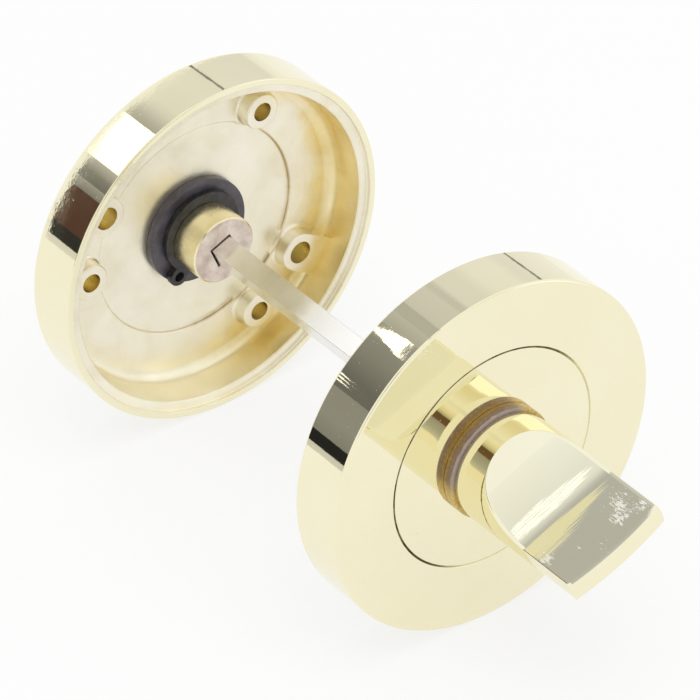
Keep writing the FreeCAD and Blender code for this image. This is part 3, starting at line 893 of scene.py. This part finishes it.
def make_release_turn():
    """Make the release: a hub with a sawn end, and a head with a slot for a coin."""
    corners = [(0.0, 0.0, 0)]
    corners += [(radius, height, 0.05) for height, radius in shank_outline()]
    corners += [
        (TURN_RADIUS, HEAD_BASE, 0.1), (TURN_RADIUS, RELEASE_TOP - RELEASE_STEP, 0.3),
        (TURN_RADIUS - RELEASE_STEP, RELEASE_TOP, 0.3), (0.0, RELEASE_TOP, 0),
    ]
    piece = lathe("release_turn_fine", rounded(corners, closed=False), 240, ring=False)
    carve(piece, block(RELEASE_HOLE_HALF, RELEASE_HOLE_HALF, -1, RELEASE_HOLE_END))
    carve(piece, block(9.0, SLOT_HALF, RELEASE_TOP - SLOT_DEPTH, RELEASE_TOP + 1))

    def choose(centre, normal):
        in_hole = centre.z < RELEASE_HOLE_END + 0.1 and math.hypot(centre.x, centre.y) < 3
        if centre.z < 0.04 or in_hole:
            return RAW
        return HUB if centre.z < HEAD_BASE - 0.1 else POLISHED

    looks = (POLISHED, RAW, HUB)
    paint(piece, looks, choose)
    placed(piece, "release", BLADE_ANGLE)
    finished(piece, "release_turn", "turning_set", looks)


def make_spindle():
    """Make the square bar with chamfered ends, softened edges and the hole of the pin."""
    low, high, chamfer, edge = -56.0, 10.0, 0.4, 0.14
    half, narrow = SPINDLE_HALF, SPINDLE_HALF - chamfer
    rows = []
    for height, width in ((low, narrow), (low + chamfer, half), (high - chamfer, half), (high, narrow)):
        corners = [(-width, -width, edge), (width, -width, edge), (width, width, edge), (-width, width, edge)]
        rows.append(level(rounded(corners, 5), height))
    piece = skin("spindle_fine", rows, ("first", "last"))
    carve_pin_hole(piece, 3)
    placed(piece, "turn", BLADE_ANGLE)
    finished(piece, "spindle", "turning_set", (ZINC,))


make_roses()
for side in ("turn", "release"):
    make_washer(side, "face", ROSE_HEIGHT, FACE_WASHER_TOP, FACE_WASHER_RADIUS, NYLON)
    make_washer(side, "back", BACK_WASHER_LOW, RECESS_HEIGHT, TURN_RADIUS, CHARCOAL)
    make_circlip(side)
make_thumb_turn()
make_release_turn()
make_spindle()
pin_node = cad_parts["spindle_pin"]
pin_node.data.materials.clear()
pin_node.data.materials.append(BLACK_STEEL)


# Camera, floor and light

def camera_axes():
    """Return the directions to the right, up and back towards the camera."""
    turn, lift = math.radians(VIEW_AZIMUTH), math.radians(VIEW_ELEVATION)
    back = Vector((math.sin(turn) * math.cos(lift), -math.cos(turn) * math.cos(lift), math.sin(lift)))
    right = Vector((math.cos(turn), math.sin(turn), 0))
    return right, back.cross(right), back


def make_camera():
    """Set up the camera that was fitted to the photo."""
    right, up, back = camera_axes()
    across, down, away = VIEW_OFFSET
    data = bpy.data.cameras.new("camera")
    data.sensor_width = SENSOR
    data.lens = VIEW_FOCAL * SENSOR / FRAME_PIXELS
    data.clip_start = 0.05
    data.clip_end = 50
    camera = bpy.data.objects.new("camera", data)
    bpy.context.scene.collection.objects.link(camera)
    spot = (right * -across + up * down + back * away) * MM
    turn = Matrix((right, up, back)).transposed().to_4x4()
    camera.matrix_world = Matrix.Translation(spot) @ turn
    bpy.context.scene.camera = camera


def plain_rays(tree):
    """Return 1 for rays of the camera, reflections and transmission, and 0 for rays of lighting."""
    path = tree.nodes.new("ShaderNodeLightPath")
    output = path.outputs["Is Camera Ray"]
    for kind in ("Is Glossy Ray", "Is Transmission Ray"):
        larger = tree.nodes.new("ShaderNodeMath")
        larger.operation = "MAXIMUM"
        tree.links.new(output, larger.inputs[0])
        tree.links.new(path.outputs[kind], larger.inputs[1])
        output = larger.outputs[0]
    return output


def make_floor():
    """Lay a pale floor that keeps the object's shadow and is lifted by a share of plain white."""
    size, height = 3.0, -(ROSE_RADIUS + 0.02) * MM
    corners = [(-size, -size), (size, -size), (size, size), (-size, size)]
    floor = new_object("floor", level(corners, height), [(0, 1, 2, 3)])
    make = Nodes("pale_floor", (0.96, 0.96, 0.96), roughness=0.9)
    make.shader.inputs["Specular IOR Level"].default_value = 0.0
    white = make.add("ShaderNodeEmission")
    part = make.add("ShaderNodeMath", operation="MULTIPLY")
    make.link(plain_rays(make.tree), part, 0)
    part.inputs[1].default_value = FLOOR_WHITE
    chooser = make.add("ShaderNodeMixShader")
    make.link(part.outputs["Value"], chooser, 0)
    make.link(make.shader.outputs[0], chooser, 1)
    make.link(white.outputs[0], chooser, 2)
    make.link(chooser.outputs[0], make.tree.nodes["Material Output"], "Surface")
    floor.data.materials.append(make.material)


def make_world():
    """Light everything evenly, and show plain white to the camera and in reflections."""
    world = bpy.data.worlds.new("studio")
    bpy.context.scene.world = world
    world.use_nodes = True
    tree = world.node_tree
    shown = tree.nodes["Background"]
    lighting = tree.nodes.new("ShaderNodeBackground")
    for background, strength in ((shown, 1.0), (lighting, EVEN_LIGHT)):
        background.inputs["Strength"].default_value = strength
        background.inputs["Color"].default_value = (1, 1, 1, 1)
    chooser = tree.nodes.new("ShaderNodeMixShader")
    tree.links.new(plain_rays(tree), chooser.inputs[0])
    tree.links.new(lighting.outputs[0], chooser.inputs[1])
    tree.links.new(shown.outputs[0], chooser.inputs[2])
    tree.links.new(chooser.outputs[0], tree.nodes["World Output"].inputs["Surface"])


def make_lamp(name, spot, width, strength):
    """Hang a square soft lamp that faces the middle of the object."""
    data = bpy.data.lights.new(name, "AREA")
    data.size = width
    data.energy = strength * math.pi * width * width
    lamp = bpy.data.objects.new(name, data)
    bpy.context.scene.collection.objects.link(lamp)
    lamp.location = spot
    lamp.visible_glossy = False
    lamp.rotation_mode = "QUATERNION"
    aim = Vector((0, DOOR_GAP * MM / 2, 0)) - Vector(spot)
    lamp.rotation_quaternion = aim.to_track_quat("-Z", "Y")


# Cards that only reflections show

def mirrored_spot(start, normal, reach):
    """Return where the view, mirrored at a point, meets an arch of that radius round the spindle."""
    view = -camera_axes()[2]
    ray = view - normal * 2 * view.dot(normal)
    flat, flat_ray = Vector((start.x, start.z)), Vector((ray.x, ray.z))
    half = flat.dot(flat_ray)
    length = flat_ray.length_squared
    root = math.sqrt(half ** 2 - length * (flat.length_squared - reach ** 2))
    return start + ray * (-half + root) / length


def wall_spot(radius, angle, place, reach):
    """Return what a cylinder round the spindle mirrors at an angle and a place along it."""
    normal = outward(angle)
    return mirrored_spot(normal * radius + Vector((0, place, 0)), normal, reach)


def make_card(name, columns):
    """Hang up a card. Each of its columns is two points and a tone."""
    vertices = [point * MM for column in columns for point in column[:2]]
    faces = [(i, i + 1, i + 3, i + 2) for i in range(0, len(vertices) - 2, 2)]
    card = new_object(name, vertices, faces)
    tones = card.data.color_attributes.new("tone", "FLOAT_COLOR", "POINT")
    for index, column in enumerate(columns):
        for point in (index * 2, index * 2 + 1):
            tones.data[point].color = (*column[2], 1)
    card.visible_camera = card.visible_diffuse = card.visible_shadow = False
    card.visible_transmission = card.visible_volume_scatter = False
    material = bpy.data.materials.new(name)
    material.use_nodes = True
    nodes = material.node_tree.nodes
    glow = nodes.new("ShaderNodeEmission")
    tone = nodes.new("ShaderNodeAttribute")
    tone.attribute_name = "tone"
    material.node_tree.links.new(tone.outputs["Color"], glow.inputs["Color"])
    material.node_tree.links.new(glow.outputs[0], nodes["Material Output"].inputs["Surface"])
    card.data.materials.append(material)


def as_colour(tone):
    """Return a tone as a colour: grey for a number."""
    return Vector(tone if isinstance(tone, tuple) else (tone, tone, tone))


def filled(stops, step=2.0):
    """Return stops of an angle and a tone with more stops between them."""
    result = []
    stops = [(angle, as_colour(tone)) for angle, tone in stops]
    for (angle, tone), (next_angle, next_tone) in zip(stops, stops[1:]):
        parts = max(1, math.ceil((next_angle - angle) / step))
        for part in range(parts):
            share = part / parts
            result.append((angle + (next_angle - angle) * share, tone.lerp(next_tone, share)))
    return result + [stops[-1]]


def wall_card(name, radius, places, stops, mirror=None, reach=ARCH):
    """Make the card that a cylinder round the spindle mirrors, or that a flat face mirrors behind it."""
    columns = []
    for angle, tone in filled(stops):
        points = [wall_spot(radius, angle, place, reach) for place in places]
        if mirror is not None:
            for point in points:
                point.y = 2 * mirror - point.y
        columns.append((*points, tone))
    make_card(name, columns)


def scoop_card(name, stops, sides=(-14, 14), reach=ARCH):
    """Make a card above the scoop, by slope in degrees and two spots across the blade."""
    columns = []
    for angle, tone in filled(stops):
        slope = math.radians(angle)
        normal = blade_turn() @ Vector((0, -math.sin(slope), math.cos(slope)))
        height, raised = scoop_point(slope)
        points = [
            mirrored_spot(blade_turn() @ Vector((side, -height, raised)), normal, reach)
            for side in sides
        ]
        columns.append((*points, tone))
    make_card(name, columns)


def streak_card(name, edges, tone):
    """Make a ragged streak on a wall, from places along the spindle with two directions each."""
    columns = []
    for index, (place, low, high) in enumerate(edges):
        ragged = 0.35 * ((index * 7 % 5) / 4 - 0.5)
        points = [
            wall_spot(ROSE_RADIUS, angle, place, STREAK_ARCH)
            for angle in (low + ragged, high - ragged)
        ]
        columns.append((*points, as_colour(tone)))
    make_card(name, columns)


def crease_edges(first, places):
    """Return the edges of a crease that leans by a fixed angle for each millimetre."""
    edges = []
    for place in places:
        lean = CREASE_LEAN * (place - places[0])
        edges.append((place, first + lean, first + CREASE_WIDTH + lean))
    return edges


make_camera()
make_floor()
make_world()
make_lamp("soft_top", (-0.15, -0.25, 0.9), 0.7, 1.3)
wall_card("card_near", ROSE_RADIUS, (-45, 22), NEAR_TONES)
wall_card("card_far", ROSE_RADIUS, (36, 72), FAR_TONES)
wall_card("card_bar", SPINDLE_HALF, (4, 30), BAR_TONES, reach=BAR_ARCH)
for name, first, places in CREASES:
    streak_card(name, crease_edges(first, places), CREASE_TONE)
wall_card("card_front", TURN_RADIUS, (-60, 20), KNOB_TONES, mirror=-ROSE_HEIGHT)
scoop_card("card_scoop", SCOOP_TONES)
for index, (low, high, left, right) in enumerate(SCOOP_LINES):
    line = [(low, LINE_TONE), (high, LINE_TONE)]
    scoop_card(f"scoop_line_{index}", line, (left, right), STREAK_ARCH)
streak_card("streak_wide", WIDE_STREAK, WIDE_STREAK_TONE)
for side in FINE_STREAK_SIDES:
    edges = [(place, side + low, side + high) for place, low, high in FINE_STREAK]
    streak_card(f"streak_{int(side)}", edges, LINE_TONE)

bpy.context.scene.view_settings.view_transform = "Standard"
